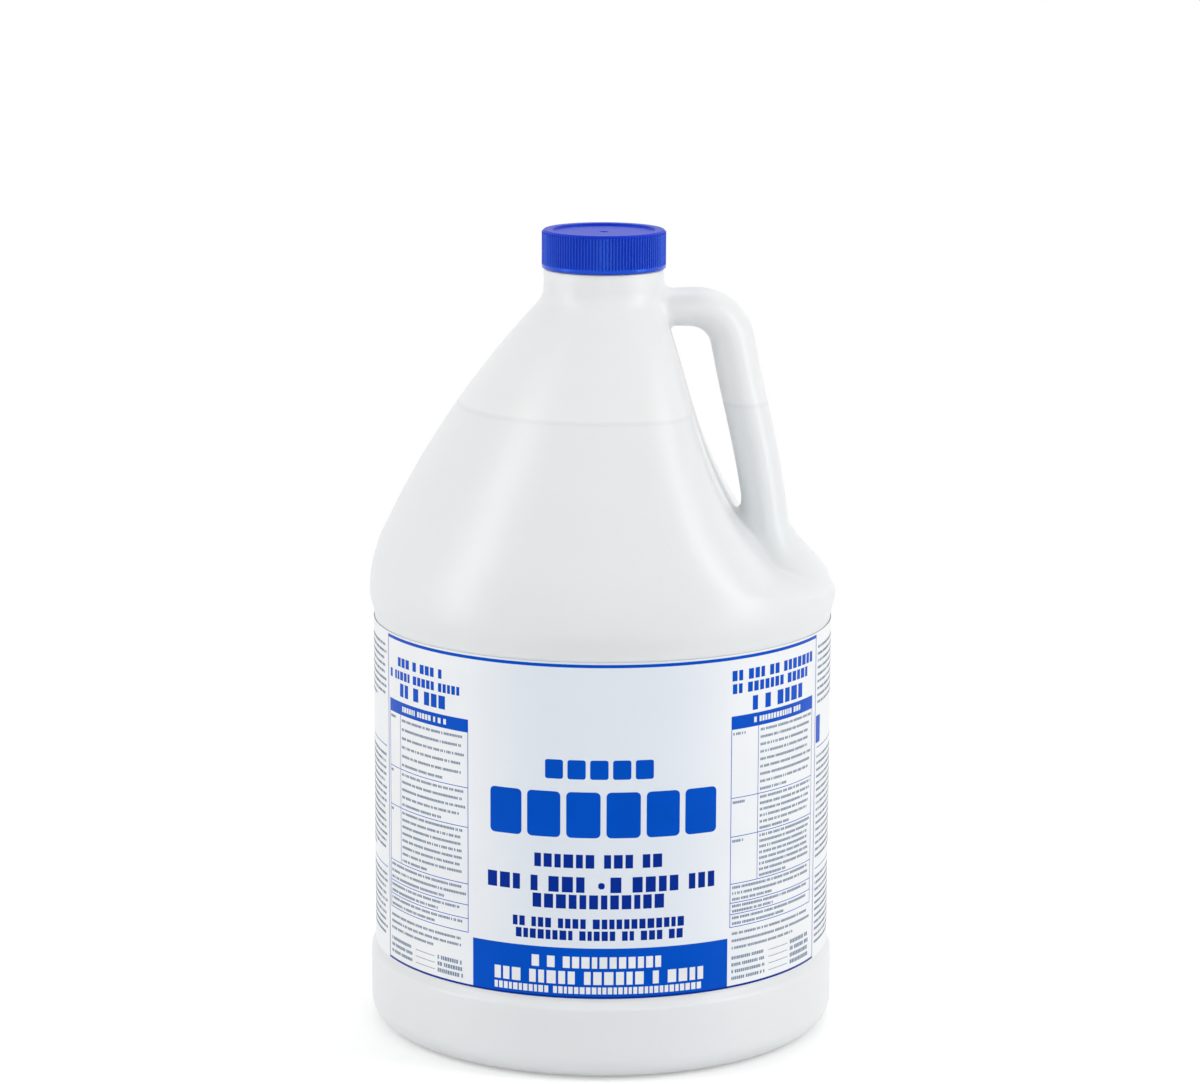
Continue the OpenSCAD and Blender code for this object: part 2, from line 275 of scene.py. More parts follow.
def field_slope(field, points, step=0.05):
    """Slope of a field at points, from its values a short step each way."""
    ways = np.eye(3) * step
    return np.stack([field(*(points + w).T) - field(*(points - w).T) for w in ways], 1) / (2 * step)


def shifted(grid, axis, by):
    """A grid of (radius, angle, height) moved on by one along an axis, or left as it is, and
    without its last layer. Angle runs round, so it loses no layer."""
    if axis == 1:
        return np.roll(grid, -by, 1)
    return np.take(grid, range(by, grid.shape[axis] - 1 + by), axis)


def surface_net(field, level, top_z, cell):
    """Where a field equals a level, as quads on a grid of radius, angle and height. Each cell
    that the surface crosses gets one point, at the mean of the crossings on its twelve
    edges, and each grid edge that is crossed joins its four cells. Returns points, quads,
    and the rings of points at the lower and upper ends."""
    radii = np.linspace(NET_LOW_R, NET_TOP_R, int((NET_TOP_R - NET_LOW_R) / cell))
    heights = np.linspace(SKIN_LOW_Z, top_z, int((top_z - SKIN_LOW_Z) / cell))
    turns = np.arange(COLUMNS) * 2 * np.pi / COLUMNS
    x = radii[:, None, None] * np.cos(turns)[None, :, None]
    y = radii[:, None, None] * np.sin(turns)[None, :, None]
    value = field(x, y, heights[None, None, :]) - level
    inside = value < 0
    total, found = 0, 0
    for axis in range(3):
        start, end = shifted(value, axis, 0), shifted(value, axis, 1)
        crossed = (start < 0) != (end < 0)
        share = np.where(crossed, start / np.where(crossed, start - end, 1), 0)
        a, b = [i for i in range(3) if i != axis]
        for at_a in (0, 1):
            for at_b in (0, 1):
                hit = shifted(shifted(crossed, a, at_a), b, at_b)
                place = np.zeros(hit.shape + (3,))
                place[..., axis] = shifted(shifted(share, a, at_a), b, at_b)
                place[..., a], place[..., b] = at_a, at_b
                total = total + place * hit[..., None]
                found = found + hit
    active = found > 0
    cells = np.argwhere(active)
    at = cells + total[active] / found[active][:, None]
    r = np.interp(at[:, 0], np.arange(len(radii)), radii)
    angle = at[:, 1] * turns[1]
    z = np.interp(at[:, 2], np.arange(len(heights)), heights)
    points = np.stack([r * np.cos(angle), r * np.sin(angle), z], 1)
    number = np.full(active.shape, -1)
    number[active] = np.arange(len(cells))
    quads = []
    for axis in range(3):
        a, b = [(1, 2), (2, 0), (0, 1)][axis]
        leaves = shifted(inside, axis, 0)
        place = np.argwhere(leaves != shifted(inside, axis, 1))
        for i in {a, b} - {1}:
            place = place[(place[:, i] > 0) & (place[:, i] < number.shape[i])]
        ring = []
        for da, db in ((-1, -1), (0, -1), (0, 0), (-1, 0)):
            near = place.copy()
            near[:, a] += da
            near[:, b] += db
            ring.append(number[near[:, 0], near[:, 1] % COLUMNS, near[:, 2]])
        ring = np.stack(ring, 1)
        quads.append(np.where(leaves[tuple(place.T)][:, None], ring, ring[:, ::-1]))
    ends = []
    for k in (0, len(heights) - 1):
        edge = np.argmax(np.diff(inside[:, 0, k].astype(int)) != 0)
        ends.append(number[edge, :, k and k - 1])
    return points, np.vstack(quads), ends


def settle(field, points, level, steps=3):
    """Moves points straight onto the surface where the field equals a level."""
    for _ in range(steps):
        slope = field_slope(field, points)
        points = points - slope * ((field(*points.T) - level) / (slope**2).sum(1))[:, None]
    return points


def relax(points, quads, free):
    """Moves free points half way to the middle of their neighbours along quad edges."""
    edges = np.vstack([quads[:, [i, (i + 1) % 4]] for i in range(4)])
    count = np.bincount(edges.ravel(), minlength=len(points))
    total = np.stack([
        np.bincount(edges[:, 0], points[edges[:, 1], i], len(points))
        + np.bincount(edges[:, 1], points[edges[:, 0], i], len(points)) for i in range(3)], 1)
    return np.where(free[:, None], mix(points, total / count[:, None], 0.5), points)


def skin_net(field, level, top_z, cell):
    """A stretch of skin between the turned ones: the net of a level, relaxed and settled, with
    its end rings set to true circles. Returns points, quads, the rings and unit normals."""
    points, quads, ends = surface_net(field, level, top_z, cell)
    free = ~np.isin(np.arange(len(points)), np.concatenate(ends))
    for _ in range(2):
        points = settle(field, relax(points, quads, free), level, 1)
    points = settle(field, points, level)
    angle = (np.arange(COLUMNS) + 0.5) * 2 * np.pi / COLUMNS
    for end in ends:
        z = np.full(COLUMNS, points[end, 2].mean())
        slope = body_radius(z + 0.5) - body_radius(z - 0.5)
        r = body_radius(z) + level * np.sqrt(1 + slope**2)
        points[end] = np.stack([r * np.cos(angle), r * np.sin(angle), z], 1)
    normals = field_slope(field, points)
    return points, quads, ends, normals / np.linalg.norm(normals, axis=1)[:, None]


def lathe(profile, columns=COLUMNS):
    """A profile of (radius, height) points turned once round the z axis. A first or last
    point on the axis becomes one point. Returns points, quads, triangles and end rings."""
    profile = np.array(profile, float)
    angle = (np.arange(columns) + 0.5) * 2 * np.pi / columns
    poles = [profile[0, 0] == 0, profile[-1, 0] == 0]
    rows = profile[int(poles[0]):len(profile) - int(poles[1])]
    r, z = rows[:, :1], rows[:, 1:]
    points = np.stack([r * np.cos(angle), r * np.sin(angle), z + 0 * angle], 2).reshape(-1, 3)
    number = np.arange(len(points)).reshape(len(rows), columns)
    ahead = np.roll(number, -1, 1)
    quads = np.stack([number[:-1], ahead[:-1], ahead[1:], number[1:]], 2).reshape(-1, 4)
    tris = [np.zeros((0, 3), int)]
    if poles[0]:
        points = np.vstack([points, [0, 0, profile[0, 1]]])
        tris.append(np.stack([np.full(columns, len(points) - 1), ahead[0], number[0]], 1))
    if poles[1]:
        points = np.vstack([points, [0, 0, profile[-1, 1]]])
        tris.append(np.stack([number[-1], ahead[-1], np.full(columns, len(points) - 1)], 1))
    return points, quads, np.vstack(tris), number[0], number[-1]


def stitch(lower, upper):
    """Quads between two rings that have the same number of points at the same angles."""
    return np.stack([lower, np.roll(lower, -1), np.roll(upper, -1), upper], 1)


def add_mesh(name, points, quads, tris, body, material, node=None, normals=None):
    """A mesh object in metres that rides on a body, and stands for a node if one is named.
    normals holds a unit normal for each point, or zeros where the faces' own is used."""
    mesh = bpy.data.meshes.new(name)
    faces = np.asarray(quads).reshape(-1, 4).tolist() + np.asarray(tris).reshape(-1, 3).tolist()
    mesh.from_pydata((np.asarray(points) * MM).tolist(), [], faces)
    mesh.polygons.foreach_set("use_smooth", np.ones(len(mesh.polygons), bool))
    if normals is not None:
        mesh.normals_split_custom_set_from_vertices(normals.tolist())
    piece = bpy.data.objects.new(name, mesh)
    bpy.context.scene.collection.objects.link(piece)
    mesh.materials.append(material)
    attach(piece, body)
    if node:
        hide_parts(node)
    return piece


def arc(centre, radius, start, end, steps):
    """Points along an arc in the profile plane, from one angle to another, in degrees."""
    a = np.radians(np.linspace(start, end, steps + 1))
    return [(centre[0] + radius * np.cos(t), centre[1] + radius * np.sin(t)) for t in a]


def lower_profile(inset, fine):
    """The jug's side from the middle of its base up to the lower seam, drawn in by inset:
    the push-up, the standing ring, the corner, the base ring, its step, the panel, the swell."""
    corner_r = BASE_CORNER_R - inset
    side_r = RING_R - inset
    ring_r = side_r - corner_r
    dome_r = ring_r - STANDING_RING_W
    edge, flat_end, crease = 1.5, 4, 0.5
    steps = int(12 * fine)
    s = np.linspace(0, 1, int(14 * fine))
    dome = np.stack([dome_r * s, inset + PUSH_UP_H * (1 - s**2)], 1)[:-1]
    foot = [(dome_r + 0.3, inset + 0.12), (dome_r + edge, inset), (ring_r - edge, inset)]
    corner = arc((ring_r, inset + corner_r), corner_r, -90, 0, steps)
    upright = [(side_r, z) for z in (BASE_CORNER_R + flat_end, RING_H - flat_end, RING_H - crease)]
    t = np.linspace(0, 1, steps)
    step = np.stack([mix(side_r, PANEL_R - inset, smooth(t)), RING_H + RING_STEP_H * t], 1)
    z = np.append(
        np.linspace(PANEL_Z + crease, PANEL_TOP_Z - crease, 5),
        np.linspace(PANEL_TOP_Z, SKIN_LOW_Z, 5))
    panel = np.stack([body_radius(z) - inset, z], 1)
    return np.vstack([dome, foot, corner, upright, step, panel])


def neck_profile():
    """From the collar's outside up over its shoulder, the neck and the rim, then down the
    bore and the cone to the collar's inside."""
    inner_r = COLLAR_R - WALL
    cone_top = COLLAR_TOP_Z - 1.1
    edge, root, rim, lip = 0.6, 0.5, 0.35, 0.3
    cone_end = LUMEN_TOP_Z + 0.3
    cone = [(mix(BORE_R, inner_r, t), mix(cone_top, cone_end, t)) for t in np.linspace(0.05, 1, 6)]
    return np.vstack([
        [(COLLAR_R, SKIN_TOP_Z), (COLLAR_R, COLLAR_TOP_Z - 1)],
        arc((COLLAR_R - edge, COLLAR_TOP_Z - edge), edge, 0, 90, 5),
        arc((NECK_R + root, COLLAR_TOP_Z + root), root, -90, -180, 4),
        [(NECK_R, z) for z in np.linspace(COLLAR_TOP_Z + 1, RIM_Z - 0.8, 8)],
        arc((NECK_R - rim, RIM_Z - rim), rim, 0, 90, 4),
        arc((BORE_R + lip, RIM_Z - lip), lip, 90, 180, 4),
        [(BORE_R, z) for z in np.linspace(RIM_Z - 1, cone_top + 0.5, 8)],
        cone,
    ])


def jug_skin():
    """The whole jug as one closed skin: turned below the lower seam and above the upper one,
    free-form between them, outside and inside. The nets keep their fields' own normals."""
    side = lathe(lower_profile(0, 1.0))
    neck = lathe(neck_profile())
    inner = lathe(lower_profile(WALL, 0.6)[::-1])
    outer_net = skin_net(jug_field, 0, SKIN_TOP_Z, OUTER_CELL)
    inner_net = skin_net(jug_field, -WALL, LUMEN_TOP_Z, INNER_CELL)
    parts = [side[0], outer_net[0], neck[0], inner_net[0], inner[0]]
    at = np.cumsum([0] + [len(p) for p in parts])
    quads = np.vstack([
        side[1],
        stitch(side[4], outer_net[2][0] + at[1]),
        outer_net[1] + at[1],
        stitch(outer_net[2][1] + at[1], neck[3] + at[2]),
        neck[1] + at[2],
        stitch(inner_net[2][1] + at[3], neck[4] + at[2])[:, ::-1],
        inner_net[1][:, ::-1] + at[3],
        stitch(inner[3] + at[4], inner_net[2][0] + at[3])[:, ::-1],
        inner[1] + at[4]])
    tris = np.vstack([side[2], inner[2] + at[4]])
    normals = np.zeros((at[-1], 3))
    normals[at[1]:at[2]] = outer_net[3]
    normals[at[3]:at[4]] = -inner_net[3]
    return np.vstack(parts), quads, tris, normals


def thread_ridge(from_turn, to_turn, base_z, root_r, height, root_w, crest_w):
    """A helical ridge with a rounded crest. Its section is carried round the axis, rising by
    the pitch each turn, and its height eases in and out over an eighth of a turn."""
    turn = np.linspace(from_turn, to_turn, int(abs(to_turn - from_turn) * RIDGE_STEPS) + 1)[:, None]
    full = smooth((turn - from_turn) / RUN_OUT) * smooth((to_turn - turn) / RUN_OUT)
    side = np.sign(height)
    s = np.linspace(-1, 1, 9)[None]
    flank = np.clip((1 - np.abs(s)) * root_w / (root_w - crest_w), 0, 1)
    crest = np.abs(height) * flank**RIDGE_POWER
    out = root_r + side * (crest * full - RUN_OUT_DEPTH * (1 - full))
    foot = np.full_like(turn, root_r - side * RIDGE_SINK)
    r = np.concatenate([foot, out, foot], 1)
    across = np.concatenate([[-1.0], s[0], [1.0]])[None] * root_w / 2
    z = base_z + THREAD_PITCH * turn + across
    angle = 2 * np.pi * turn
    points = np.stack([r * np.cos(angle), r * np.sin(angle), z], 2)
    rows, columns = points.shape[:2]
    number = np.arange(rows * columns).reshape(rows, columns)
    ahead = np.roll(number, -1, 1)
    quads = np.stack([number[:-1], number[1:], ahead[1:], ahead[:-1]], 2).reshape(-1, 4)
    fan = np.arange(1, columns - 1)
    first = np.stack([np.full(columns - 2, 0), fan, fan + 1], 1)
    last = number[-1][np.stack([np.full(columns - 2, 0), fan + 1, fan], 1)]
    tris = np.vstack([first, last])
    if side < 0:
        quads, tris = quads[:, ::-1], tris[:, ::-1]
    return points.reshape(-1, 3), quads, tris


# The cap and its liner
CAP_Z = COLLAR_TOP_Z + 0.3
CAP_TOP_Z = node_top("screw_cap")
CAP_HOLLOW_R = NECK_R + THREAD_H + 0.45
CAP_R = CAP_HOLLOW_R + 2.5
CAP_THREAD_H = CAP_HOLLOW_R - NECK_R - 0.45
CAP_COLUMNS = 1440
RIBS = 120
RIB_DEPTH = 0.28
BEVEL_H = 0.8
BAND_H = 1.2
RECESS_R = CAP_R - 3.8
RECESS_Z = CAP_TOP_Z - 0.9
GATE_R = 1.6
GATE_DEPTH = 0.3
CAP_RIDGE_START = -0.25
CAP_RIDGE_ROOT_W = 1.9
CAP_RIDGE_CREST_W = 0.9
LINER_Z = RIM_Z + 0.05
LINER_TOP_Z = LINER_Z + 1
LINER_R = CAP_HOLLOW_R - 0.2
LINER_EDGE = 0.2
LINER_COLUMNS = 144


def cap_profile():
    """From the middle of the cap's ceiling out and down its hollow, round its lower lip, up
    its side and bevel, and over the rim and the recess to the gate mark in the middle."""
    room_z = LINER_TOP_Z + 0.05
    corner, lip, foot, rim, gate = 0.3, 0.25, 0.2, 0.2, 0.1
    gate_z = RECESS_Z - GATE_DEPTH
    bevel_r = CAP_R - BEVEL_H
    side = np.concatenate([
        CAP_Z + np.array([0.5, 0.8]),
        CAP_Z + BAND_H + np.array([-0.12, 0, 0.1, 0.25, 0.5]),
        np.linspace(CAP_Z + BAND_H + 1.2, CAP_TOP_Z - 1.6, 6),
        CAP_TOP_Z - np.array([1.2, 1.0, 0.85, 0.75, 0.65, 0.55, 0.45, 0.35, 0.25, 0.15, 0.06]),
    ])
    return np.vstack([
        [(0, room_z), (9, room_z), (CAP_HOLLOW_R - 0.7, room_z)],
        arc((CAP_HOLLOW_R - corner, room_z - corner), corner, 90, 0, 3),
        [(CAP_HOLLOW_R, z) for z in np.linspace(room_z - 1, CAP_Z + 0.7, 4)],
        arc((CAP_HOLLOW_R + lip, CAP_Z + lip), lip, 180, 270, 3),
        arc((CAP_R - foot, CAP_Z + foot), foot, -90, 0, 3),
        [(CAP_R - max(z - CAP_TOP_Z + BEVEL_H, 0), z) for z in side],
        [(r, CAP_TOP_Z) for r in (bevel_r - 0.05, bevel_r - 0.4, RECESS_R + 0.6)],
        arc((RECESS_R + rim, CAP_TOP_Z - rim), rim, 90, 170, 4),
        arc((RECESS_R - 0.55, RECESS_Z + rim), rim, -10, -90, 4),
        [(RECESS_R - 1.2, RECESS_Z), (GATE_R + 0.6, RECESS_Z)],
        arc((GATE_R + gate, RECESS_Z - gate), gate, 90, 170, 3),
        [(GATE_R - 0.15, gate_z + 0.04), (GATE_R - 0.3, gate_z), (0, gate_z)],
    ])


def cap_shell():
    """The cap's skin turned from its profile. Its side is drawn in between the ribs, by half
    of one less the cosine of the angle times their number, and nowhere past the bevel."""
    points, quads, tris, _, _ = lathe(cap_profile(), CAP_COLUMNS)
    r, z = np.hypot(points[:, 0], points[:, 1]), points[:, 2]
    on_side = (r > CAP_R - BEVEL_H - 0.01) * smooth((z - CAP_Z - BAND_H) / 0.25)
    groove = (1 - np.cos(RIBS * np.arctan2(points[:, 1], points[:, 0]))) / 2
    drawn_in = np.minimum(r, CAP_R - RIB_DEPTH * groove * on_side)
    share = np.where(on_side > 0, drawn_in / np.maximum(r, 1), 1)
    points[:, :2] *= share[:, None]
    return points, quads, tris


def liner_disc():
    """A flat disc with rounded edges."""
    middle_r = LINER_R - LINER_EDGE
    profile = np.vstack([
        [(0, LINER_Z), (LINER_R - 1, LINER_Z)],
        arc((middle_r, LINER_Z + LINER_EDGE), LINER_EDGE, -90, 0, 4),
        arc((middle_r, LINER_TOP_Z - LINER_EDGE), LINER_EDGE, 0, 90, 4),
        [(LINER_R - 1, LINER_TOP_Z), (0, LINER_TOP_Z)],
    ])
    return lathe(profile, LINER_COLUMNS)[:3]


# The label and what is printed on it: distances round the label from the middle of its front
LABEL_T = 0.2
LABEL_R = PANEL_R + 0.05
LABEL_LOW_Z = PANEL_Z + 0.8
LABEL_TOP_Z = PANEL_TOP_Z - 0.8
LAP = np.radians(6)
LAP_RISE = np.radians(3)
INK_LOW_R = LABEL_R + LABEL_T - 0.02
INK_R = LABEL_R + LABEL_T + 0.03
TOP_INK_R = INK_R + 0.03
BLOCK_STEP = 2.5
ROUND_STEPS = 16
SHEET_STEPS = 733
THIN_RULE = 0.12
SIDE_LINE = 0.18


def loft(section):
    """Quads over sections of four points each, shaped (strip, place, 4, xyz): four sides
    between each place and the next, and a cap on either end. Returns points and quads."""
    strips, places = section.shape[:2]
    number = np.arange(strips * places * 4).reshape(strips, places, 4)
    ahead = np.roll(number, -1, 2)
    sides = np.stack([number[:, :-1], number[:, 1:], ahead[:, 1:], ahead[:, :-1]], 3)
    ends = [number[:, 0], number[:, -1, ::-1]]
    return section.reshape(-1, 3), np.vstack([sides.reshape(-1, 4), *ends])


def outward(points, middle_r):
    """Normals square to the jug's axis: away from it outside middle_r, towards it inside."""
    r = np.hypot(points[:, 0], points[:, 1])
    side = np.where(r > middle_r, 1, -1) / r
    return np.stack([points[:, 0] * side, points[:, 1] * side, 0 * r], 1)


def label_sheet():
    """A thin sheet that goes once round the panel from the back, and climbs by its own
    thickness just before it laps over its start."""
    turn = np.linspace(0, 2 * np.pi + LAP, SHEET_STEPS)[:, None]
    climb = LABEL_T * smooth((turn - 2 * np.pi + LAP_RISE) / LAP_RISE)
    r = LABEL_R + climb + LABEL_T * np.array([[0, 1, 1, 0]])
    z = np.array([[LABEL_LOW_Z, LABEL_LOW_Z, LABEL_TOP_Z, LABEL_TOP_Z]]) + 0 * r
    angle = turn + np.pi / 2
    points, quads = loft(np.stack([r * np.cos(angle), r * np.sin(angle), z], 2)[None])
    middle = (LABEL_R + climb + LABEL_T / 2).repeat(4)
    return points, quads, outward(points, middle)


def ink_slabs(patches, top_r):
    """Thin closed slabs bent round the label, one for each row of (start, end, low, high,
    corner). A corner is a quarter circle: its slab's low and high edges close in towards
    either end by the corner's size less the root of its square less the way's square."""
    patches = np.array(patches, float)
    rounded = patches[:, 4] > 0
    straight_steps = np.ceil((patches[:, 1] - patches[:, 0]) / BLOCK_STEP)
    steps = np.where(rounded, ROUND_STEPS, straight_steps).astype(int)
    points, quads, count = [], [], 0
    for curved in (False, True):
        for n in np.unique(steps[rounded == curved]):
            start, end, low, high, corner = patches[(rounded == curved) & (steps == n)].T[..., None]
            t = np.linspace(0, 1, n + 1)[None]
            along = mix(start, end, (1 - np.cos(np.pi * t)) / 2 if curved else t)
            way = np.clip(corner - np.minimum(along - start, end - along), 0, None)
            drop = corner - np.sqrt(np.clip(corner**2 - way**2, 0, None))
            r = np.array([INK_LOW_R, top_r, top_r, INK_LOW_R]) + 0 * along[..., None]
            z = np.stack([low + drop, low + drop, high - drop, high - drop], 2)
            angle = along[..., None] / (LABEL_R + LABEL_T)
            part, faces = loft(np.stack([r * np.sin(angle), -r * np.cos(angle), z], 3))
            points.append(part)
            quads.append(faces + count)
            count += len(part)
    points = np.vstack(points)
    return points, np.vstack(quads), outward(points, 0)


def small_print(rng, start, end, base, size):
    """One line of small plain blocks of one height: random widths, and a wider gap now and
    then."""
    count = int((end - start) / (0.5 * size))
    width = size * rng.uniform(0.42, 0.7, count)
    gap = size * np.where(rng.random(count) < 0.17, 0.7, 0.2)
    right = start + np.cumsum(width + gap) - gap
    rows = np.stack([right - width, right, *np.full((3, count), [[base], [base + size], [0]])], 1)
    return rows[right < end]


def paragraph(rng, start, end, top, bottom, lines, size=0.9):
    """Lines of small print spread evenly from top down to bottom, with ragged ends and the
    last one cut short."""
    pitch = (top - bottom) / lines
    ends = np.full(lines, end)
    ends[-1] = mix(start, end, rng.uniform(0.45, 0.8))
    rows = []
    for i, last in enumerate(ends):
        base = top - pitch * (i + 0.5) - size / 2
        rows.append(small_print(rng, start, last - rng.uniform(0, 2.5), base, size))
    return rows


def bar(start, end, low, high, corner=0):
    return np.array([[start, end, low, high, corner]])


def blocks(start, end, low, high, count, gap, corner):
    """A row of equal rounded blocks."""
    width = (end - start + gap) / count
    left = start + width * np.arange(count)
    levels = np.full((3, count), [[low], [high], [corner]])
    return np.stack([left, left + width - gap, *levels], 1)


def table_print(rng, left, right, head, divider, row_z, row_lines):
    """A table of bars: a header bar, rules under its rows, a divider down to the third rule,
    and small print in the rows. Returns the blue, fine and white patches."""
    split_rows, header_size = 3, 1.9
    base_z = head[0]
    blue = [bar(left, right, *head)]
    blue += [bar(left, right, z - THIN_RULE, z + THIN_RULE) for z in row_z]
    for side in (left + THIN_RULE, right - THIN_RULE):
        blue.append(bar(side - THIN_RULE, side + THIN_RULE, row_z[-1], base_z))
    blue.append(bar(divider - 0.1, divider + 0.1, row_z[split_rows - 1], base_z))
    fine = []
    for i, (top, bottom, lines) in enumerate(zip([base_z, *row_z[:-1]], row_z, row_lines)):
        split = divider if i < split_rows else left
        fine += paragraph(rng, split + 1, right - 0.8, top - 0.3, bottom + 0.2, lines)
        if i < split_rows:
            fine += paragraph(rng, left + 0.8, divider - 0.6, top - 0.3, top - 2.8, 1)
    base = (head[0] + head[1]) / 2 - header_size / 2
    start, end = mix(left, right, 0.22), mix(left, right, 0.8)
    return blue, fine, [small_print(rng, start, end, base, header_size)]


# The label's blocks and bars, each as (start, end, low, high)
PANEL_EDGE = 93
FOOT_BAR_Z = 29.7
HEAD_BAR_Z = 143.4
FINE_SIDES = ((95, 148), (-148, -95))
HEADINGS = (
    (-85, -57.5, 134.6, 137.8), (-91, -49, 130, 133), (-83.5, -57.5, 124.2, 128.8),
    (46.2, 90, 136, 139.6), (46.4, 89.4, 131.6, 135), (55, 82, 125, 130),
)
NAVY_LINES = (
    (-22.9, 21.8, 74.5, 79.2), (-40, -3, 66, 71.4), (3, 39.8, 66, 71.4),
    (-23.5, 22.9, 60.3, 65.2), (-30.6, 30.4, 53.4, 56.8), (-29.5, 29.5, 49.3, 52.6),
)
WHITE_LINES = ((-23.8, 23.4, 39.6, 43.6), (-37.4, 37, 33.9, 38.4), (-37.4, 36.6, 30.6, 33))
# Each table as (left, right, header's low and high, divider, rules' heights, lines in a row)
TABLES = (
    (-91.6, -47.9, (117.8, 122.3), -83.3, (98.6, 84.8, 65, 57.6, 52.8, 48), (6, 5, 8, 3, 2, 2)),
    (46, 90, (119.3, 123.9), 57.8, (95.5, 82, 65.5, 58.8, 54.8, 50.3), (9, 6, 8, 3, 2, 2)),
)
# The short lists under the tables, as (start, start of the last column, end, lines' tops)
LISTS = ((-91, -62, -50, (38, 35.7, 33.4)), (47, 76, 89, (40.6, 38.2, 35.8, 33.4)))


def label_print():
    """Every patch on the label, by ink: plain blocks and bars in place of the print."""
    rng = np.random.default_rng(4)
    ink = {"blue": [], "navy": [], "fine": [], "white": []}

    def lines(name, places):
        """A line of small print for each (start, end, low, high)."""
        for start, end, low, high in places:
            ink[name].append(small_print(rng, start, end, low, high - low))

    ink["blue"] += [
        bar(-PANEL_EDGE - 0.2, PANEL_EDGE + 0.2, HEAD_BAR_Z, HEAD_BAR_Z + 1.1),
        bar(-46, 45.2, FOOT_BAR_Z, 46.6),
    ]
    ink["navy"].append(bar(-PANEL_EDGE - 0.2, PANEL_EDGE + 0.2, 28.95, FOOT_BAR_Z))
    for side in (-PANEL_EDGE, PANEL_EDGE):
        ink["blue"].append(bar(side - SIDE_LINE, side + SIDE_LINE, FOOT_BAR_Z, HEAD_BAR_Z))
    ink["blue"].append(bar(93.9, 98.1, 105.8, 115.5, 0.5))

    for table in TABLES:
        for name, rows in zip(("blue", "fine", "white"), table_print(rng, *table)):
            ink[name] += rows
    lines("blue", HEADINGS)
    ink["blue"] += [
        blocks(-19.2, 17.5, 105.2, 111.8, 5, 1.5, 0.8),
        blocks(-39, 40.2, 85, 100.8, 6, 2, 1.6),
    ]
    lines("navy", NAVY_LINES)
    ink["navy"].append(bar(-1.1, 1.1, 67.3, 69.5, 0.9))
    lines("white", WHITE_LINES)

    ink["fine"] += paragraph(rng, -91, -49, 46.4, 39.4, 3)
    ink["fine"] += paragraph(rng, 47, 90, 49.2, 41.6, 3)
    for start, number_at, end, tops in LISTS:
        for top in tops:
            ink["fine"] += [
                small_print(rng, start, start + 15, top - 1.8, 1.1),
                bar(start + 17, number_at - 1.5, top - 1.5, top - 1.3),
                small_print(rng, number_at, end, top - 2, 1.4),
            ]
    for start, end in FINE_SIDES:
        for top, bottom, count in ((141, 119, 9), (102, 64, 16), (59, 33, 11)):
            ink["fine"] += paragraph(rng, start, end, top, bottom, count)
        ink["blue"] += [bar(start, end, 60.6, 60.9), bar(start, end, 104, 104.3)]
    return {name: np.vstack(rows) for name, rows in ink.items()}


def add_node(tree, kind, feeds=None, **settings):
    """A shader node with its settings. feeds maps an input to a value or to another node's
    output, which is linked."""
    node = tree.nodes.new(kind)
    for name, value in settings.items():
        setattr(node, name, value)
    for name, value in (feeds or {}).items():
        if isinstance(value, bpy.types.NodeSocket):
            tree.links.new(value, node.inputs[name])
        else:
            node.inputs[name].default_value = value
    return node


def math(tree, operation, *values):
    """The output of a Math node."""
    return add_node(tree, "ShaderNodeMath", dict(enumerate(values)), operation=operation).outputs[0]


def ramp(tree, value, low, high, low_to=0.0, high_to=1.0):
    """The value carried smoothly from one range to another."""
    feeds = {0: value, 1: low, 2: high, 3: low_to, 4: high_to}
    return add_node(tree, "ShaderNodeMapRange", feeds, interpolation_type="SMOOTHSTEP").outputs[0]


def blend_colour(tree, share, first, second):
    """The output of a colour Mix node."""
    node = add_node(tree, "ShaderNodeMix", {0: share}, data_type="RGBA")
    for socket, value in ((node.inputs[6], first), (node.inputs[7], second)):
        if isinstance(value, bpy.types.NodeSocket):
            tree.links.new(value, socket)
        else:
            socket.default_value = (*value, 1)
    return node.outputs[2]


def moulded_group():
    """The surface that plastic takes from its mould and the press from its sheet. Its height
    is fine grain mixed with slow waves, and its tone is a slow drift about one half."""
    group = bpy.data.node_groups.new("moulded_surface", "ShaderNodeTree")
    group.interface.new_socket("Vector", in_out="INPUT", socket_type="NodeSocketVector")
    for name, side in (
        ("Grain", "INPUT"), ("Wave", "INPUT"), ("Grain Share", "INPUT"),
        ("Height", "OUTPUT"), ("Tone", "OUTPUT"),
    ):
        group.interface.new_socket(name, in_out=side, socket_type="NodeSocketFloat")
    place, grain_scale, wave_scale, share = group.nodes.new("NodeGroupInput").outputs[:4]
    noises = []
    for scale, detail in ((grain_scale, 3.0), (wave_scale, 1.0)):
        feeds = {"Vector": place, "Scale": scale, "Detail": detail}
        noises.append(add_node(group, "ShaderNodeTexNoise", feeds).outputs[0])
    grain, wave = noises
    height = add_node(group, "ShaderNodeMix", {0: share, 2: wave, 3: grain})
    out = group.nodes.new("NodeGroupOutput")
    group.links.new(height.outputs[0], out.inputs[0])
    group.links.new(wave, out.inputs[1])
    return group


MOULDED = moulded_group()
TONE_LOW, TONE_HIGH = 0.3, 0.7
ROUGH_DRIFT = 0.1


